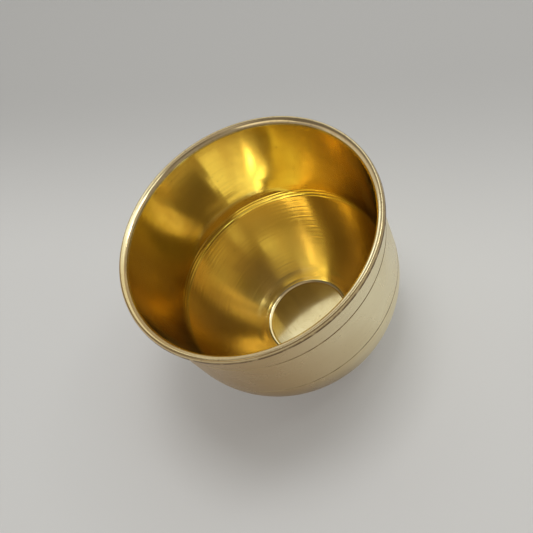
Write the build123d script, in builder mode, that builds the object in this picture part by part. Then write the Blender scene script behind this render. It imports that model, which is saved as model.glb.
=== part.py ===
from build123d import *
import os

# Offering bowl: a turned brass vessel. A tapered wall is let into a thick round belly, a flat disc closes
# the base, a half-round bead lies on the lip, and each joint is filled with solder.
# Millimetres. The bowl stands on z = 0 and its axis is Z.

# Overall size
rim_diameter = 100.0
bowl_height = 71.2

# Half-round bead on the lip, flat side down
bead_width = 3.15
bead_height = 1.8
crown_inset = 0.75

# Tapered upper wall
lip_thickness = 0.85
lip_chamfer = 0.2
belly_diameter = 90.0
bend_diameter = 82.0
seam_height = 34.0
tongue_depth = 1.8
tongue_thickness = 2.3

# Incised line round the wall, and the open edges of the belly seam that look like a second one
line_drop = 12.0
line_width = 0.44
line_depth = 0.24
seam_chamfer = 0.2

# Lower bowl and its open base
base_diameter = 35.0
base_ring_width = 4.5
base_ledge_thickness = 1.4
dish_depth = 2.4

# Floor disc
floor_diameter = 34.5
disc_thickness = 1.75
flange_width = 1.3
flange_thickness = 0.7
disc_edge_round = 0.5

# Solder
solder_gap = 0.05
rim_solder_leg = 1.2
belly_solder_reach = 1.7
belly_solder_depth = 1.4
floor_solder_hollow = 0.12

# Places on the section, as (radius, height)
rim_radius = rim_diameter / 2
lip = Vector(rim_radius - bead_width, bowl_height - bead_height)
lip_outside = lip + Vector(lip_thickness, 0)
crown = Vector(rim_radius - crown_inset, bowl_height)
seam = Vector(belly_diameter / 2, seam_height)
bend = Vector(bend_diameter / 2, seam_height - tongue_depth)
tongue_radius = bend.X + tongue_thickness
rebate_radius = tongue_radius + solder_gap
floor_height = base_ledge_thickness + disc_thickness
foot = Vector(floor_diameter / 2, floor_height)
base_radius = base_diameter / 2
base_hole_radius = base_radius - base_ring_width
flange_radius = foot.X - solder_gap
face_radius = foot.X - flange_width
flange_top = base_ledge_thickness + flange_thickness

# Inside of the lower bowl, dished from the floor up to the bend
dish = SagittaArc(foot, bend, -dish_depth)

# The belly solder fills a groove cut equally into the wall and the bowl
solder_top = bend + (lip - bend).normalized() * belly_solder_reach
solder_foot = dish @ (1 - belly_solder_reach / dish.length)
solder_root = bend + Vector(belly_solder_depth, 0)


def outer_edge(part, height):
    """The outermost round edge of a part at a given height."""
    level = part.edges().filter_by_position(Axis.Z, height - solder_gap / 2, height + solder_gap / 2)
    return level.filter_by(GeomType.CIRCLE).sort_by(SortBy.RADIUS)[-1]


# Upper wall
with BuildPart() as upper_wall:
    with BuildSketch(Plane.XZ):
        with BuildLine():
            Polyline(
                solder_top,
                lip,
                lip_outside,
                seam + Vector(0, solder_gap),
                (tongue_radius, seam_height + solder_gap),
                (tongue_radius, bend.Y),
                solder_root,
                close=True,
            )
        make_face()
    revolve(axis=Axis.Z)
    lip_inner_edge = upper_wall.edges().group_by(Axis.Z)[-1].sort_by(SortBy.RADIUS)[0]
    chamfer(lip_inner_edge, lip_chamfer)
    chamfer(outer_edge(upper_wall, seam_height + solder_gap), seam_chamfer)
    line = lip_outside + (seam - lip_outside) * (line_drop / (lip.Y - seam.Y))
    with BuildSketch(Plane.XZ):
        with BuildLine():
            Polyline(
                line + Vector(0, line_width / 2),
                line - Vector(line_depth, 0),
                line - Vector(0, line_width / 2),
                line + Vector(line_depth, 0),
                close=True,
            )
        make_face()
    revolve(axis=Axis.Z, mode=Mode.SUBTRACT)
upper_wall.part.label = "upper_wall"

# Lower bowl: the belly runs on from the wall's taper in one arc
with BuildPart() as lower_bowl:
    with BuildSketch(Plane.XZ):
        with BuildLine():
            TangentArc(seam, (base_radius, 0), tangent=seam - lip_outside)
            Polyline(
                (base_radius, 0),
                (base_hole_radius, 0),
                (base_hole_radius, base_ledge_thickness),
                (foot.X, base_ledge_thickness),
                foot,
            )
            add(dish.trim(0, 1 - belly_solder_reach / dish.length))
            Polyline(
                solder_foot,
                solder_root,
                (rebate_radius, bend.Y),
                (rebate_radius, seam_height),
                seam,
            )
        make_face()
    revolve(axis=Axis.Z)
    chamfer(outer_edge(lower_bowl, seam_height), seam_chamfer)
lower_bowl.part.label = "lower_bowl"

# Floor disc: a flange that lies on the base ledge, and the raised face that shows inside
with BuildPart() as floor_disc:
    with BuildSketch(Plane.XY.offset(base_ledge_thickness)):
        Circle(flange_radius)
    extrude(amount=flange_thickness)
    with BuildSketch(Plane.XY.offset(base_ledge_thickness)):
        Circle(face_radius)
    extrude(amount=disc_thickness)
    fillet(floor_disc.edges().group_by(Axis.Z)[-1], disc_edge_round)
floor_disc.part.label = "floor_disc"

# Rim bead: half-round wire, bent into a ring. It rolls from its highest line down to the inside of the wall
# in one arc, and drops more steeply to the outside.
with BuildPart() as rim_bead:
    with BuildSketch(Plane.XZ):
        with BuildLine():
            EllipticalCenterArc((crown.X, lip.Y), crown_inset, bead_height, arc_size=90)
            TangentArc(crown, lip, tangent=(-1, 0))
            Line(lip, (rim_radius, lip.Y))
        make_face()
    revolve(axis=Axis.Z)
rim_bead.part.label = "rim_bead"

# Rim solder: a fillet in the corner between the bead's flat underside and the wall
with BuildPart() as rim_solder:
    with BuildSketch(Plane.XZ):
        with BuildLine():
            Polyline(
                lip_outside,
                lip_outside + Vector(rim_solder_leg, 0),
                lip_outside + (seam - lip_outside).normalized() * rim_solder_leg,
                close=True,
            )
        make_face()
    revolve(axis=Axis.Z)
rim_solder.part.label = "rim_solder"

# Belly solder: the cove inside, where the wall's taper turns into the dished bowl
with BuildPart() as belly_solder:
    with BuildSketch(Plane.XZ):
        with BuildLine():
            TangentArc(solder_top, solder_foot, tangent=bend - lip)
            Polyline(solder_foot, solder_root, solder_top)
        make_face()
    revolve(axis=Axis.Z)
belly_solder.part.label = "belly_solder"

# Floor solder: fills the channel over the disc's flange, hollow on top
with BuildPart() as floor_solder:
    with BuildSketch(Plane.XZ):
        with BuildLine():
            disc_side = Vector(face_radius, floor_height - disc_edge_round)
            SagittaArc(disc_side, foot, -floor_solder_hollow)
            Polyline(foot, (foot.X, flange_top), (face_radius, flange_top), disc_side)
        make_face()
    revolve(axis=Axis.Z)
floor_solder.part.label = "floor_solder"

os.makedirs("parts", exist_ok=True)
for piece in (upper_wall, lower_bowl, floor_disc, rim_bead, rim_solder, belly_solder, floor_solder):
    export_step(piece.part, f"parts/{piece.part.label}.step")
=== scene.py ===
import math

import bmesh
import bpy
from mathutils import Matrix, Vector, noise


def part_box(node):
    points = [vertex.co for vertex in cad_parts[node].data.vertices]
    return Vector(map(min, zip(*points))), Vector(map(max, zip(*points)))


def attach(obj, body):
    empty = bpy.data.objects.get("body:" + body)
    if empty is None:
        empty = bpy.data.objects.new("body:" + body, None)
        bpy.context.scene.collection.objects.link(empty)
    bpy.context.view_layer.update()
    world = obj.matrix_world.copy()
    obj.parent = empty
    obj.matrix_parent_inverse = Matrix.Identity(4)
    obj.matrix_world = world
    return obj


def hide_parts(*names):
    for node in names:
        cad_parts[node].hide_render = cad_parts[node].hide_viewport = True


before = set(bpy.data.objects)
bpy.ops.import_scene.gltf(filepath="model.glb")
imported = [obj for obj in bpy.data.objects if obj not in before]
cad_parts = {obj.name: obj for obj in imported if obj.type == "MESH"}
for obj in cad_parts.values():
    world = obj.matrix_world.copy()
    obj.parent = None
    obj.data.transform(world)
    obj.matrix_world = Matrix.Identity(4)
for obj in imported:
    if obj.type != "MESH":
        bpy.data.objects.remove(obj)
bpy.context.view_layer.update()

# Offering bowl in turned brass: polished and golden inside, pale satin outside, with a worn bead
# on the lip. Metres. The bowl stands on z = 0 and its axis is Z.
MM = 0.001

# Sizes that come from the frame
bead_low, bead_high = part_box("rim_bead")
wall_low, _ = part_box("upper_wall")
_, rim_solder_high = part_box("rim_solder")
cove_low, cove_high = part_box("belly_solder")
_, bowl_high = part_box("lower_bowl")
disc_low, disc_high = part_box("floor_disc")
channel_low, channel_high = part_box("floor_solder")

rim_radius = min(bead_high.x, bead_high.y, -bead_low.x, -bead_low.y)
rim_top = bead_high.z
lip_height = bead_low.z
bend_height = wall_low.z
seam_height = bowl_high.z
ledge_height = disc_low.z
floor_height = disc_high.z

# Sizes of the turned section that the boxes don't give
bead_width = 3.15 * MM
crown_inset = 0.75 * MM
lip_round = 0.2 * MM
rim_solder_leg = 1.2 * MM
bend_radius = 41.0 * MM
belly_radius = 45.0 * MM
tongue_thickness = 2.3 * MM
tongue_radius = bend_radius + tongue_thickness
solder_gap = 0.05 * MM
base_radius = 17.5 * MM
base_hole_radius = 13.0 * MM
dish_depth = 2.4 * MM
flange_width = 1.3 * MM
disc_edge_round = 0.5 * MM
channel_hollow = 0.12 * MM
line_drop = 12.0 * MM
line_width = 0.44 * MM
line_depth = 0.24 * MM
edge_round = 0.1 * MM
seam_round = 0.2 * MM

# Tool marks and wear in the shape. Values that are named count are to the metre.
dish_ring_pitch = 1.6 * MM
dish_ring_height = 0.006 * MM
cove_bulge = 0.05 * MM
cove_bulges = 3
foot_band_radius = 21.3 * MM
foot_line_radius = 18.15 * MM
foot_band_bulge = 0.06 * MM
foot_line_bulge = 0.015 * MM
wall_wave = 0.06 * MM
wall_wave_count = 70
wall_wave_reach = 0.1 * MM
wall_ring_pitch = 2.3 * MM
wall_ring_height = 0.0012 * MM
disc_sink = 0.02 * MM
bead_wear = 0.03 * MM
bead_wear_count = 180
pit_depth = 0.08 * MM
pit_count = 1300
pit_height = 0.9 * MM

# A point nearer than this to the height of a flat face lies on it
level_limit = 0.01 * MM

# Depth of the fine marks in each finish
polish_line_depth = 0.0016 * MM
satin_line_depth = 0.002 * MM
bead_line_depth = 0.003 * MM
tarnish_grain_depth = 0.02 * MM

# Places on the section, as (radius, height)
lip = Vector((bead_high.x - bead_width, lip_height))
lip_outside = Vector((rim_solder_high.x - rim_solder_leg, lip_height))
underside = Vector((rim_solder_high.x, lip_height))
crown = Vector((rim_radius - crown_inset, rim_top))
seam = Vector((belly_radius, seam_height))
wall_foot = seam + Vector((0, solder_gap))
bend = Vector((bend_radius, bend_height))
foot = Vector((channel_high.x, floor_height))
face_radius = foot.x - flange_width
cove_root = Vector((cove_high.x, bend_height))
cove_top = bend + (lip - bend) * ((cove_high.z - bend.y) / (lip.y - bend.y))
wall_slope = (seam - lip_outside).normalized()
line = lip_outside + (seam - lip_outside) * (line_drop / (lip.y - seam.y))

# Where painted shade, painted shadow, tarnish and rubbing start, and where they are full
painted_shade_right_x = (24.0 * MM, 40.0 * MM)
painted_shade_right_y = (-18.0 * MM, 0.0)
painted_shade_left_x = (-22.0 * MM, -40.0 * MM)
painted_shade_dish_x = (-10.0 * MM, 6.0 * MM)
painted_shade_dish_y = (13.0 * MM, 26.0 * MM)
painted_shade_disc_y = (-7.0 * MM, 8.0 * MM)
painted_shade_disc_radius = (face_radius, face_radius - 0.4 * MM)
# Painted shade on the outside toward -X, a painted shadow low on its foot, and painted shade on the bead
# toward -X
painted_shade_side_x = (25.0 * MM, -30.0 * MM)
painted_shadow_foot_x = (14.0 * MM, -10.0 * MM)
painted_shadow_foot_height = (36.0 * MM, 16.0 * MM)
bead_painted_shade_x = (-34.0 * MM, -46.0 * MM)
bead_brown_radius = (crown.x - 0.1 * MM, crown.x + 0.35 * MM)
bead_tarnish_height = (lip_height + 1.4 * MM, lip_height + 0.4 * MM)
bead_tarnish_radius = (48.6 * MM, 49.2 * MM)
bead_inner_radius = (lip.x + 0.28 * MM, lip.x + 0.08 * MM)
bead_nick_radius = (crown.x - 0.5 * MM, crown.x)
line_stain_gap = (0.6 * MM, 0.25 * MM)
rubbed_x = (10.0 * MM, -30.0 * MM)
rubbed_y = (-8.0 * MM, -25.0 * MM)

SEGMENTS = 256
BEAD_SEGMENTS = 900
SHARP_ANGLE = math.radians(40)


# Outlines, all anticlockwise: up the outside, inward over the top, down the inside

def straight(start, end, steps=1):
    """Points of a straight run, both ends included."""
    return [start.lerp(end, k / steps) for k in range(steps + 1)]


def arc(start, end, sagitta, steps):
    """Points of a round arc that bulges by the sagitta to the right of the way from start to end."""
    chord = end - start
    right = Vector((chord.y, -chord.x)).normalized()
    radius = (chord.length_squared / 4 + sagitta**2) / (2 * sagitta)
    centre = (start + end) / 2 + right * (sagitta - radius)
    first = start - centre
    turn = first.angle_signed(end - centre)
    return [centre + Matrix.Rotation(-turn * k / steps, 2) @ first for k in range(steps + 1)]


def tangent_arc(start, end, direction, steps):
    """Points of a round arc that leaves start in the given direction and arrives at end."""
    chord = end - start
    lean = chord.angle_signed(direction)
    return arc(start, end, chord.length / 2 * math.tan(lean / 2), steps)


def quarter(centre, reach, rise, steps):
    """Points of a quarter ellipse round the centre, from its outermost point to its highest."""
    angles = [math.pi / 2 * k / steps for k in range(steps + 1)]
    return [centre + Vector((reach * math.cos(a), rise * math.sin(a))) for a in angles]


def rounded(before, corner, after, radius, steps=5):
    """Points of a small rounding of the corner between two straight runs."""
    start = corner + (before - corner).normalized() * radius
    end = corner + (after - corner).normalized() * radius
    shares = [k / steps for k in range(steps + 1)]
    return [start.lerp(corner, t).lerp(corner.lerp(end, t), t) for t in shares]


def outward(points, k):
    """Direction square to the outline at its point k."""
    before = points[max(k - 1, 0)]
    after = points[min(k + 1, len(points) - 1)]
    tangent = (after - before).normalized()
    return Vector((tangent.y, -tangent.x))


def rippled(points, height, pitch):
    """The points, raised and sunk in rings of uneven depth. Both ends stay where they are."""
    moved = [points[0]]
    way = 0.0
    for k in range(1, len(points) - 1):
        way += (points[k] - points[k - 1]).length
        turn = 2 * math.pi * way / pitch
        wave = math.sin(turn) + 0.5 * math.sin(1.7 * turn)
        rise = height * wave * (0.6 + 0.4 * math.sin(0.37 * turn))
        moved.append(points[k] + outward(points, k) * rise)
    return [*moved, points[-1]]


def scalloped(points, height, count=1):
    """The points, raised in a row of shallow bulges that meet in sharp lines."""
    total = sum((after - before).length for before, after in zip(points, points[1:]))
    moved = [points[0]]
    way = 0.0
    for k in range(1, len(points) - 1):
        way += (points[k] - points[k - 1]).length
        bulge = abs(math.sin(math.pi * count * way / total))
        moved.append(points[k] + outward(points, k) * height * bulge)
    return [*moved, points[-1]]


# Meshes

def lathe(name, node, stretches, materials, segments=SEGMENTS, relief=None):
    """A closed turned piece. Each stretch of the outline is (its material, points)."""
    outline = []
    finishes = []
    for finish, points in stretches:
        outline += points[:-1]
        finishes += [materials.index(finish)] * (len(points) - 1)
    on_axis = stretches[0][1][0].x == 0
    if on_axis:
        outline.append(stretches[-1][1][-1])
    count = len(outline)
    normals = [outward(outline, k) for k in range(count)]
    vertices = []
    for turn in range(segments):
        angle = 2 * math.pi * turn / segments
        across = Vector((math.cos(angle), math.sin(angle), 0))
        for (radius, height), normal in zip(outline, normals):
            place = across * radius + Vector((0, 0, height))
            if relief:
                place += (across * normal.x + Vector((0, 0, normal.y))) * relief(place)
            vertices.append(place)
    ways = [0.0]
    for k in range(1, count + 1):
        ways.append(ways[-1] + (outline[k % count] - outline[k - 1]).length)
    faces = []
    slots = []
    unrolled = []
    for turn in range(segments):
        here = turn * count
        there = (turn + 1) % segments * count
        left = turn / segments
        right = (turn + 1) / segments
        for k, finish in enumerate(finishes):
            following = (k + 1) % count
            low = ways[k] / ways[-1]
            high = ways[k + 1] / ways[-1]
            corners = [here + k, there + k, there + following, here + following]
            places = [left, low, right, low, right, high, left, high]
            if outline[k].x == 0:
                corners = [k, there + following, here + following]
                places = [left, low, right, high, left, high]
            elif outline[following].x == 0:
                corners = [here + k, there + k, following]
                places = [left, low, right, low, left, high]
            faces.append(corners)
            slots.append(finish)
            unrolled += places
    mesh = bpy.data.meshes.new(name)
    mesh.from_pydata(vertices, [], faces)
    mesh.polygons.foreach_set("material_index", slots)
    mesh.uv_layers.new(name="OFBake").data.foreach_set("uv", unrolled)
    for material in materials:
        mesh.materials.append(material)
    shape = bmesh.new()
    shape.from_mesh(mesh)
    spare = [point for point in shape.verts if not point.link_faces]
    bmesh.ops.delete(shape, geom=spare, context="VERTS")
    shape.to_mesh(mesh)
    shape.free()
    mesh.shade_smooth()
    mesh.set_sharp_from_angle(angle=SHARP_ANGLE)
    piece = bpy.data.objects.new(name, mesh)
    bpy.context.scene.collection.objects.link(piece)
    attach(piece, "root")
    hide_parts(node)


# Materials

class Nodes:
    """Adds the nodes of one material or world."""

    def __init__(self, owner):
        owner.use_nodes = True
        self.tree = owner.node_tree

    def add(self, kind, inputs=None, **settings):
        made = self.tree.nodes.new("ShaderNode" + kind)
        for name, value in settings.items():
            setattr(made, name, value)
        self.feed(made, inputs or {})
        return made

    def feed(self, made, inputs):
        for name, value in inputs.items():
            if isinstance(value, bpy.types.NodeSocket):
                self.tree.links.new(value, made.inputs[name])
            else:
                made.inputs[name].default_value = value

    def math(self, operation, *values):
        return self.add("Math", dict(enumerate(values)), operation=operation).outputs[0]

    def both(self, first, second):
        """The share of two things that are there together."""
        return self.math("MULTIPLY", first, second)

    def ramp(self, value, start, end, low=0.0, high=1.0):
        """Goes smoothly from low to high while the value goes from start to end."""
        ends = {"Value": value, "From Min": start, "From Max": end, "To Min": low, "To Max": high}
        return self.add("MapRange", ends, interpolation_type="SMOOTHSTEP").outputs["Result"]

    def blend(self, share, first, second):
        """A colour between two others."""
        return self.add("Mix", {0: share, 6: first, 7: second}, data_type="RGBA").outputs[2]

    def bump(self, height, distance):
        return self.add("Bump", {"Height": height, "Distance": distance}).outputs["Normal"]


class Turned(Nodes):
    """Nodes of a surface that was turned on a lathe, with each point's place on the bowl."""

    def __init__(self, name):
        self.material = bpy.data.materials.new(name)
        super().__init__(self.material)
        self.place = self.add("TexCoord").outputs["Object"]
        self.x, self.y, self.height = self.add("SeparateXYZ", {0: self.place}).outputs
        self.flat = self.add("CombineXYZ", {"X": self.x, "Y": self.y}).outputs[0]
        self.radius = self.add("VectorMath", {0: self.flat}, operation="LENGTH").outputs["Value"]
        self.direction = self.add("VectorMath", {0: self.flat}, operation="NORMALIZE").outputs["Vector"]

    def noise(self, scale, detail=2.0):
        """Even noise, with scale spots to the metre."""
        return self.add("TexNoise", {"Vector": self.place, "Scale": scale, "Detail": detail}).outputs["Fac"]

    def circle(self, size):
        """Each point's direction from the axis, as a place on a circle of the given size."""
        inputs = {0: self.direction, "Scale": size}
        return self.add("VectorMath", inputs, operation="SCALE").outputs["Vector"]

    def rings(self, scale, around, detail=2.0):
        """Noise drawn out into lines round the axis, with scale lines to the metre."""
        turn_x, turn_y, _ = self.add("SeparateXYZ", {0: self.circle(around)}).outputs
        along = self.math("MULTIPLY", self.radius, scale)
        vector = self.add("CombineXYZ", {"X": turn_x, "Y": turn_y, "Z": along}).outputs[0]
        up = self.math("MULTIPLY", self.height, scale)
        inputs = {"Vector": vector, "W": up, "Scale": 1.0, "Detail": detail}
        return self.add("TexNoise", inputs, noise_dimensions="4D").outputs["Fac"]

    def beside(self, height):
        """1 close to the line at the given height, 0 away from it."""
        gap = self.math("ABSOLUTE", self.math("SUBTRACT", self.height, height))
        return self.ramp(gap, *line_stain_gap)

    def brass(self, colour, roughness, normal, anisotropy):
        shader = self.tree.nodes["Principled BSDF"]
        tangent = self.add("Tangent", direction_type="RADIAL", axis="Z").outputs["Tangent"]
        self.feed(shader, {
            "Base Color": colour,
            "Metallic": 1.0,
            "Roughness": roughness,
            "Anisotropic": anisotropy,
            "Anisotropic Rotation": 0.25,
            "Tangent": tangent,
            "Normal": normal,
        })
        return self.material


def polished_brass(name, bright, dull, smooth, rough, anisotropy, painted_shade_where, painted_shade_colour, painted_shade_haze):
    """Golden brass, polished on the lathe, with fine lines, smudges, a few dark stains and brown painted
    shade that darkens parts of its reflection.
    """
    line_brown = (0.62, 0.44, 0.13, 1)
    stain_brown = (0.16, 0.10, 0.04, 1)
    face = Turned(name)
    fine = face.rings(scale=2400, around=2.2, detail=3)
    broad = face.rings(scale=420, around=1.1)
    smudge = face.noise(scale=60, detail=5)
    stains = face.ramp(face.noise(scale=900, detail=1), 0.74, 0.79)
    stained = face.both(stains, face.ramp(face.noise(scale=75), 0.50, 0.60))
    colour = face.blend(face.ramp(smudge, 0.40, 0.70, 0.0, 0.8), (*bright, 1), (*dull, 1))
    colour = face.blend(face.ramp(fine, 0.50, 0.78, 0.0, 0.35), colour, line_brown)
    colour = face.blend(stained, colour, stain_brown)
    # Brown painted shade over the darker parts of the reflection, a little rougher there
    painted_shade_share = face.both(painted_shade_where(face), face.ramp(smudge, 0.3, 0.6, 0.7, 1.0))
    colour = face.blend(painted_shade_share, colour, (*painted_shade_colour, 1))
    lines = face.math("MULTIPLY_ADD", broad, 2.0, fine)
    clean = face.ramp(smudge, 0.30, 0.75, smooth, rough)
    roughness = face.math("MULTIPLY_ADD", painted_shade_share, painted_shade_haze, clean)
    return face.brass(colour, roughness, face.bump(lines, polish_line_depth), anisotropy)


def satin_brass():
    """Paler brass with a satin rub, browner beside the cut lines, with painted shade toward -X and a
    painted shadow low on the foot.
    """
    pale = (0.93, 0.83, 0.54, 1)
    dull = (0.78, 0.65, 0.39, 1)
    painted_shade_brown = (0.52, 0.33, 0.13, 1)
    painted_shadow_brown = (0.36, 0.22, 0.07, 1)
    line_brown = (0.66, 0.52, 0.28, 1)
    speck_brown = (0.30, 0.20, 0.09, 1)
    edge_brown = (0.34, 0.22, 0.09, 1)
    face = Turned("satin_brass")
    fine = face.rings(scale=1900, around=1.6, detail=3)
    smudge = face.noise(scale=38, detail=5)
    specks = face.ramp(face.noise(scale=1500, detail=1), 0.72, 0.78, 0.0, 0.5)
    beside = face.math("ADD", face.beside(line.y), face.beside(seam.y))
    edged = face.both(beside, face.ramp(face.noise(scale=320, detail=3), 0.40, 0.70, 0.0, 0.6))
    # Painted shadow: browner low on the foot toward -X
    low = face.both(face.ramp(face.height, *painted_shadow_foot_height, 0.0, 0.8), face.ramp(face.x, *painted_shadow_foot_x))
    colour = face.blend(face.ramp(smudge, 0.40, 0.75, 0.0, 0.4), pale, dull)
    # Painted shade: browner toward -X
    colour = face.blend(face.ramp(face.x, *painted_shade_side_x, 0.0, 0.9), colour, painted_shade_brown)
    colour = face.blend(low, colour, painted_shadow_brown)
    colour = face.blend(face.ramp(fine, 0.45, 0.75, 0.0, 0.22), colour, line_brown)
    colour = face.blend(specks, colour, speck_brown)
    colour = face.blend(edged, colour, edge_brown)
    roughness = face.ramp(smudge, 0.30, 0.75, 0.24, 0.36)
    return face.brass(colour, roughness, face.bump(fine, satin_line_depth), anisotropy=0.4)


def worn_brass():
    """Pale handled brass with lines along the wire, browner outside, with painted shade toward -X,
    tarnished edges and nicks.
    """
    pale = (0.98, 0.83, 0.52, 1)
    dull = (0.88, 0.69, 0.38, 1)
    line_brown = (0.62, 0.44, 0.21, 1)
    pit_brown = (0.30, 0.17, 0.08, 1)
    outside_and_painted_shade_brown = (0.58, 0.41, 0.18, 1)
    edge_brown = (0.17, 0.105, 0.05, 1)
    nick_brown = (0.13, 0.08, 0.04, 1)
    face = Turned("worn_brass")
    lines = face.rings(scale=2600, around=3.0, detail=3)
    smudge = face.noise(scale=130, detail=4)
    pits = face.ramp(face.noise(scale=1100, detail=2), 0.62, 0.72, 0.0, 0.45)
    low = face.ramp(face.height, *bead_tarnish_height)
    outer = face.both(low, face.ramp(face.radius, *bead_tarnish_radius))
    inner = face.ramp(face.radius, *bead_inner_radius, 0.0, 0.4)
    patchy = face.ramp(face.noise(scale=420, detail=3), 0.34, 0.52, 0.45, 1.0)
    edges = face.both(face.math("MAXIMUM", outer, inner), patchy)
    # Browner outside the crown, and painted shade browning the bead toward -X
    brown_outside = face.ramp(face.radius, *bead_brown_radius, 0.0, 0.6)
    outside_brown_and_painted_shade = face.math("MAXIMUM", brown_outside, face.ramp(face.x, *bead_painted_shade_x, 0.0, 0.75))
    around = face.add("TexNoise", {"Vector": face.circle(150.0), "Scale": 1.0}).outputs["Fac"]
    shoulder = face.both(face.ramp(face.radius, *bead_nick_radius), face.ramp(smudge, 0.42, 0.58))
    nicked = face.both(face.ramp(around, 0.70, 0.76), shoulder)
    colour = face.blend(face.ramp(smudge, 0.40, 0.72, 0.0, 0.55), pale, dull)
    colour = face.blend(face.ramp(lines, 0.48, 0.75, 0.0, 0.4), colour, line_brown)
    colour = face.blend(pits, colour, pit_brown)
    colour = face.blend(outside_brown_and_painted_shade, colour, outside_and_painted_shade_brown)
    colour = face.blend(edges, colour, edge_brown)
    colour = face.blend(nicked, colour, nick_brown)
    roughness = face.ramp(smudge, 0.30, 0.75, 0.10, 0.22)
    return face.brass(colour, roughness, face.bump(lines, bead_line_depth), anisotropy=0.4)


def tarnish():
    """Dark brown tarnish left in the cut lines and round the joints, rubbed away in one place."""
    dark = (0.20, 0.12, 0.045, 1)
    brown = (0.46, 0.32, 0.14, 1)
    bare = (0.72, 0.58, 0.34, 1)
    face = Turned("tarnish")
    patches = face.noise(scale=260, detail=4)
    grain = face.noise(scale=2200, detail=2)
    rubbed = face.both(face.ramp(face.x, *rubbed_x, 0.0, 0.8), face.ramp(face.y, *rubbed_y))
    colour = face.blend(face.ramp(patches, 0.35, 0.70), dark, brown)
    colour = face.blend(rubbed, colour, bare)
    roughness = face.ramp(patches, 0.3, 0.7, 0.62, 0.42)
    return face.brass(colour, roughness, face.bump(grain, tarnish_grain_depth), anisotropy=0.0)


def painted_shade_at_right(face):
    """How far brown painted shade covers the right of the bowl's far half."""
    return face.both(face.ramp(face.x, *painted_shade_right_x, 0.0, 0.85), face.ramp(face.y, *painted_shade_right_y))


def painted_shade_at_sides(face):
    """How far the painted shade covers both sides of the wall."""
    return face.math("ADD", face.ramp(face.x, *painted_shade_left_x, 0.0, 0.8), painted_shade_at_right(face))


def painted_shade_in_dish(face):
    """How far the painted shade covers the dished bowl: its right, and the top of its far side."""
    far = face.both(face.ramp(face.x, *painted_shade_dish_x, 0.0, 0.65), face.ramp(face.y, *painted_shade_dish_y))
    return face.math("MAXIMUM", painted_shade_at_right(face), far)


def painted_shade_on_disc(face):
    """How far the painted shade covers the far half of the disc. The solder round it has none."""
    return face.both(face.ramp(face.radius, *painted_shade_disc_radius), face.ramp(face.y, *painted_shade_disc_y))


# Each finish below has a brown painted shade colour where its reflections are darker
polished = polished_brass(
    "polished_brass",
    bright=(0.91, 0.80, 0.34),
    dull=(0.81, 0.66, 0.24),
    smooth=0.03,
    rough=0.10,
    anisotropy=0.4,
    painted_shade_where=painted_shade_at_sides,
    painted_shade_colour=(0.52, 0.41, 0.16),
    painted_shade_haze=0.2,
)
dished = polished_brass(
    "dished_brass",
    bright=(0.90, 0.65, 0.20),
    dull=(0.76, 0.50, 0.14),
    smooth=0.12,
    rough=0.22,
    anisotropy=0.7,
    painted_shade_where=painted_shade_in_dish,
    painted_shade_colour=(0.53, 0.36, 0.11),
    painted_shade_haze=0.02,
)
floored = polished_brass(
    "floor_brass",
    bright=(0.92, 0.78, 0.46),
    dull=(0.78, 0.60, 0.30),
    smooth=0.05,
    rough=0.12,
    anisotropy=0.3,
    painted_shade_where=painted_shade_on_disc,
    painted_shade_colour=(0.45, 0.315, 0.12),
    painted_shade_haze=0.03,
)
satin = satin_brass()
worn = worn_brass()
tarnished = tarnish()


# Pieces

# The inside of the lower bowl, from the bend down to the disc: the dish, a band and a line round the disc
bowl_inside = arc(foot, bend, dish_depth, steps=260)[::-1]
cove_foot = min(bowl_inside, key=lambda point: abs(point.y - cove_low.z))
band_top = min(bowl_inside, key=lambda point: abs(point.x - foot_band_radius))
band_foot = min(bowl_inside, key=lambda point: abs(point.x - foot_line_radius))
dish = bowl_inside[bowl_inside.index(cove_foot):bowl_inside.index(band_top) + 1]
foot_band = bowl_inside[bowl_inside.index(band_top):bowl_inside.index(band_foot) + 1]
foot_line = bowl_inside[bowl_inside.index(band_foot):]


def wall_relief(place):
    """The inside of the wall isn't quite even. Its outside and its joints stay as they are."""
    share = (place.z - bend.y) / (lip.y - bend.y)
    inside = bend.lerp(lip, share).x
    if place.xy.length > inside + wall_wave_reach:
        return 0.0
    return wall_wave * noise.noise(place * wall_wave_count)


def build_wall():
    half_line = wall_slope * (line_width / 2)
    groove = line - Vector((line_depth, 0))
    shoulder = Vector((tongue_radius, wall_foot.y))
    tongue_end = Vector((tongue_radius, bend.y))
    foot_edge = rounded(shoulder, wall_foot, line, seam_round)
    line_foot = rounded(wall_foot, line + half_line, groove, edge_round)
    line_top = rounded(groove, line - half_line, lip_outside, edge_round)
    lip_edge = rounded(lip_outside, lip, cove_top, lip_round)
    inside = straight(lip_edge[-1], cove_top, steps=120)
    stretches = [
        (tarnished, [tongue_end, shoulder, foot_edge[0]]),
        (tarnished, foot_edge),
        (satin, straight(foot_edge[-1], line_foot[0], steps=24)),
        (tarnished, line_foot),
        (tarnished, [line_foot[-1], groove, line_top[0]]),
        (tarnished, line_top),
        (satin, straight(line_top[-1], lip_outside, steps=12)),
        (tarnished, [lip_outside, lip_edge[0]]),
        (polished, lip_edge),
        (polished, rippled(inside, wall_ring_height, wall_ring_pitch)),
        (tarnished, [cove_top, cove_root, tongue_end]),
    ]
    lathe("wall", "upper_wall", stretches, [polished, satin, tarnished], relief=wall_relief)


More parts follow.
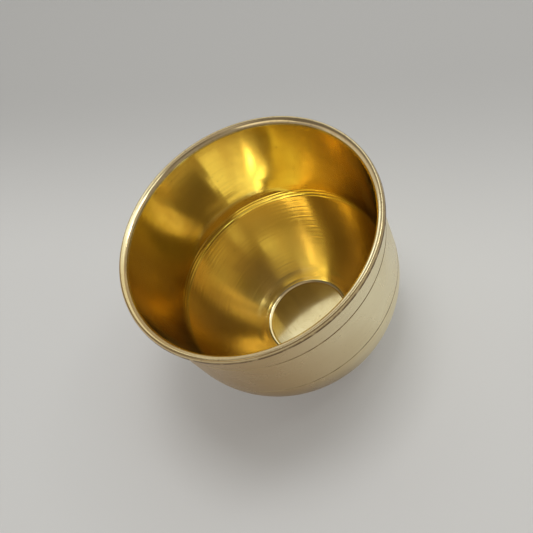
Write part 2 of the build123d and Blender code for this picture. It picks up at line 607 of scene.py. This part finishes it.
def build_bowl():
    base_hole = Vector((base_hole_radius, 0))
    base_edge = Vector((base_radius, 0))
    rebate_radius = tongue_radius + solder_gap
    rebate_top = Vector((rebate_radius, seam_height))
    rebate_foot = Vector((rebate_radius, bend.y))
    belly = tangent_arc(seam, base_edge, seam - lip_outside, steps=72)[::-1]
    seam_edge = rounded(belly[-2], seam, rebate_top, seam_round)
    ledge = Vector((base_hole_radius, ledge_height))
    stretches = [
        (satin, [base_hole, base_edge]),
        (satin, [*belly[:-1], seam_edge[0]]),
        (tarnished, seam_edge),
        (tarnished, [seam_edge[-1], rebate_top, rebate_foot, cove_root, cove_foot]),
        (dished, rippled(dish, dish_ring_height, dish_ring_pitch)),
        (dished, scalloped(foot_band, foot_band_bulge)),
        (dished, scalloped(foot_line, foot_line_bulge)),
        (satin, [foot, Vector((foot.x, ledge_height)), ledge, base_hole]),
    ]
    lathe("bowl", "lower_bowl", stretches, [dished, satin, tarnished])


def disc_relief(place):
    """The disc's face isn't quite level: it sinks a little at its far side and at its right."""
    if place.z < floor_height - level_limit:
        return 0.0
    level = max(0.0, 1 - (place.xy.length / face_radius) ** 2)
    far = math.sin(math.pi * place.y / face_radius)
    right = math.sin(math.pi * place.x / face_radius)
    return -disc_sink * level * (0.6 + 0.7 * far + 1.2 * right)


def build_disc():
    flange_top = channel_low.z
    middle = Vector((0, floor_height))
    shoulder = Vector((face_radius, floor_height))
    root = Vector((face_radius, flange_top))
    flange_foot = Vector((disc_high.x, ledge_height))
    face_edge = rounded(root, shoulder, middle, disc_edge_round)
    stretches = [
        (satin, straight(Vector((0, ledge_height)), flange_foot, steps=4)),
        (satin, [flange_foot, Vector((disc_high.x, flange_top)), root, face_edge[0]]),
        (floored, face_edge),
        (floored, straight(face_edge[-1], middle, steps=60)),
    ]
    lathe("disc", "floor_disc", stretches, [floored, satin], relief=disc_relief)


def bead_relief(place):
    """How far wear and pits sink the bead. The flat underside stays flat."""
    above = place.z - lip_height
    if above < level_limit:
        return 0.0
    worn_down = bead_wear * (noise.noise(place * bead_wear_count) - 1) / 2
    low = max(0.0, 1 - above / pit_height) * (place.xy.length > crown.x)
    pitted = max(0.0, noise.noise(place * pit_count) - 0.15) * pit_depth * 2
    return worn_down - low * pitted


def build_bead():
    outside = quarter(Vector((crown.x, lip_height)), crown_inset, rim_top - lip_height, steps=24)
    inside = tangent_arc(crown, lip, Vector((-1, 0)), steps=30)
    stretches = [
        (worn, outside),
        (worn, inside),
        (worn, [lip, outside[0]]),
    ]
    lathe("bead", "rim_bead", stretches, [worn], BEAD_SEGMENTS, bead_relief)


def build_rim_solder():
    toe = lip_outside + wall_slope * (underside - lip_outside).length
    stretches = [
        (tarnished, straight(toe, underside, steps=6)),
        (tarnished, [underside, lip_outside, toe]),
    ]
    lathe("rim_solder_ring", "rim_solder", stretches, [tarnished])


def build_belly_solder():
    cove = tangent_arc(cove_top, cove_foot, bend - lip, steps=90)
    stretches = [
        (tarnished, [cove_foot, cove_root, cove_top]),
        (polished, scalloped(cove, cove_bulge, cove_bulges)),
    ]
    lathe("belly_solder_ring", "belly_solder", stretches, [polished, tarnished])


def build_floor_solder():
    disc_side = Vector((face_radius, floor_height - disc_edge_round))
    disc_root = Vector((face_radius, channel_low.z))
    bowl_root = Vector((foot.x, channel_low.z))
    hollow = arc(disc_side, foot, channel_hollow, steps=8)[::-1]
    stretches = [
        (floored, hollow),
        (floored, [disc_side, disc_root, bowl_root, foot]),
    ]
    lathe("floor_solder_ring", "floor_solder", stretches, [floored])


build_wall()
build_bowl()
build_disc()
build_bead()
build_rim_solder()
build_belly_solder()
build_floor_solder()

# Camera: tilted down into the bowl and rolled, so that the upright bowl looks tipped
FRAME_PX = 533
LENS_PX = 1000
RIM_CENTRE_PX = (247.469, 233.509)
camera_tilt = math.radians(38.882)
camera_roll = math.radians(-36.24)
camera_distance = 351.0 * MM


def add_camera():
    camera = bpy.data.cameras.new("camera")
    camera.sensor_width = 36
    camera.lens = camera.sensor_width * LENS_PX / FRAME_PX
    camera.clip_start = 0.01
    holder = bpy.data.objects.new("camera", camera)
    bpy.context.scene.collection.objects.link(holder)
    turned = Matrix.Rotation(camera_tilt, 3, "X") @ Matrix.Rotation(camera_roll, 3, "Z")
    off_centre = [place - FRAME_PX / 2 for place in RIM_CENTRE_PX]
    ray = Vector((off_centre[0] / LENS_PX, -off_centre[1] / LENS_PX, -1))
    aim = ray.rotation_difference(Vector((0, 0, -1))).to_matrix()
    place = Vector((0, 0, lip_height)) + turned.col[2] * camera_distance
    holder.matrix_world = Matrix.LocRotScale(place, turned @ aim, None)
    bpy.context.scene.camera = holder


# Floor and light

FLOOR_HALF = 3.0
FLOOR_AWAY = (0.69, 0.72, 0)
FLOOR_SHADE = (20.0 * MM, 130.0 * MM)
FLOOR_NEAR = (0.48, 0.478, 0.476, 1)
FLOOR_FAR = (0.37, 0.368, 0.367, 1)
FLOOR_GLOW_COLOUR = (1.0, 0.995, 0.98, 1)
FLOOR_GLOW = (0.17, 0.10)
BACKGROUND = (0.5, 0.5, 0.5, 1)


def add_floor():
    """A plain pale floor with painted shade, darker toward the top of the view. It glows a little, only for
    what sees it.
    """
    mesh = bpy.data.meshes.new("floor")
    signs = [(-1, -1), (1, -1), (1, 1), (-1, 1)]
    corners = [(x * FLOOR_HALF, y * FLOOR_HALF, 0) for x, y in signs]
    mesh.from_pydata(corners, [], [(0, 1, 2, 3)])
    material = bpy.data.materials.new("floor")
    nodes = Nodes(material)
    shader = material.node_tree.nodes["Principled BSDF"]
    path = nodes.add("LightPath").outputs
    seen = nodes.math("MAXIMUM", path["Is Camera Ray"], path["Is Glossy Ray"])
    seen = nodes.math("MAXIMUM", seen, path["Is Transmission Ray"])
    place = nodes.add("TexCoord").outputs["Object"]
    dot = nodes.add("VectorMath", {0: place, 1: FLOOR_AWAY}, operation="DOT_PRODUCT")
    away = dot.outputs["Value"]
    glow = nodes.ramp(away, *FLOOR_SHADE, *FLOOR_GLOW)
    nodes.feed(shader, {
        "Base Color": nodes.blend(nodes.ramp(away, *FLOOR_SHADE), FLOOR_NEAR, FLOOR_FAR),
        "Roughness": 0.9,
        "Specular IOR Level": 0.1,
        "Emission Color": FLOOR_GLOW_COLOUR,
        "Emission Strength": nodes.both(seen, glow),
    })
    mesh.materials.append(material)
    floor = bpy.data.objects.new("floor", mesh)
    bpy.context.scene.collection.objects.link(floor)


def toward(azimuth, elevation):
    """Direction by compass: azimuth from +Y toward +X, elevation above the floor, in degrees."""
    turn = math.radians(azimuth)
    rise = math.radians(elevation)
    return Vector((math.sin(turn) * math.cos(rise), math.cos(turn) * math.cos(rise), math.sin(rise)))


def softbox(name, direction, distance, width, height, radiance):
    """A rectangular lamp that faces the bowl. Its radiance is how bright it looks in a mirror."""
    lamp = bpy.data.lights.new(name, "AREA")
    lamp.shape = "RECTANGLE"
    lamp.size = width
    lamp.size_y = height
    lamp.energy = radiance * math.pi * width * height
    holder = bpy.data.objects.new(name, lamp)
    bpy.context.scene.collection.objects.link(holder)
    turned = direction.to_track_quat("Z", "Y")
    holder.matrix_world = Matrix.LocRotScale(direction * distance, turned, None)
    return holder


# The soft room round the bowl: the colour that each part of it adds to the rest, then the azimuth and
# elevation of its middle, half its width and height, and how soft its edges are, in degrees
ROOM_LIGHT = (0.26, 0.23, 0.195)
ROOM_PARTS = (
    ((0.76, 0.85, 0.85), 58, 55, 51, 17, 2),
    ((0.30, 0.40, 0.50), 92, 56, 30, 10, 10),
    ((0.66, 0.72, 0.72), 2, 58, 6, 4.5, 2),
    ((2.6, 2.8, 2.6), 117, 54, 8, 7, 5),
    ((1.6, 1.7, 1.6), 130, 66, 10, 6, 5),
    ((-0.11, -0.10, -0.085), -60, 57, 50, 14, 8),
    ((0.58, 0.54, 0.43), -112, 44, 22, 11, 8),
    ((-0.13, -0.12, -0.105), 180, 63, 32, 11, 10),
    ((0.75, 0.92, 1.00), -14, 21, 9, 11, 6),
    ((0.12, 0.11, 0.10), 0, 90, 180, 20, 14),
    ((0.18, 0.16, 0.13), 0, 32, 135, 10, 8),
    ((0.26, 0.26, 0.25), 0, 6, 75, 20, 12),
    ((0.10, 0.10, 0.095), 95, 18, 30, 14, 14),
)


def add_room():
    world = bpy.data.worlds.new("room")
    nodes = Nodes(world)
    way = nodes.add("TexCoord").outputs["Generated"]
    _, _, up = nodes.add("SeparateXYZ", {0: way}).outputs
    elevation = nodes.math("ARCSINE", up)
    light = ROOM_LIGHT
    for colour, azimuth, middle, half_width, half_height, soft in ROOM_PARTS:
        turn = {"Vector": way, "Angle": math.radians(azimuth)}
        turned = nodes.add("VectorRotate", turn, rotation_type="Z_AXIS").outputs[0]
        x, y, _ = nodes.add("SeparateXYZ", {0: turned}).outputs
        aside = nodes.math("ABSOLUTE", nodes.math("ARCTAN2", x, y))
        above = nodes.math("ABSOLUTE", nodes.math("SUBTRACT", elevation, math.radians(middle)))
        shares = []
        for angle, half in ((aside, half_width), (above, half_height)):
            outer = math.radians(half + soft / 2)
            inner = math.radians(half - soft / 2)
            shares.append(nodes.ramp(angle, outer, inner))
        part = {0: nodes.both(*shares), 1: colour, 2: light}
        light = nodes.add("VectorMath", part, operation="MULTIPLY_ADD").outputs["Vector"]
    seen = nodes.add("LightPath").outputs["Is Camera Ray"]
    shade = nodes.blend(seen, light, BACKGROUND)
    nodes.feed(world.node_tree.nodes["Background"], {"Color": shade})
    bpy.context.scene.world = world


add_camera()
add_floor()
add_room()
softbox("key", toward(93, 49), distance=0.8, width=0.11, height=0.12, radiance=6.0)
overhead = softbox("overhead", toward(70, 77), distance=0.9, width=0.3, height=0.3, radiance=9.0)
overhead.visible_glossy = False
bpy.context.scene.view_settings.view_transform = "Standard"
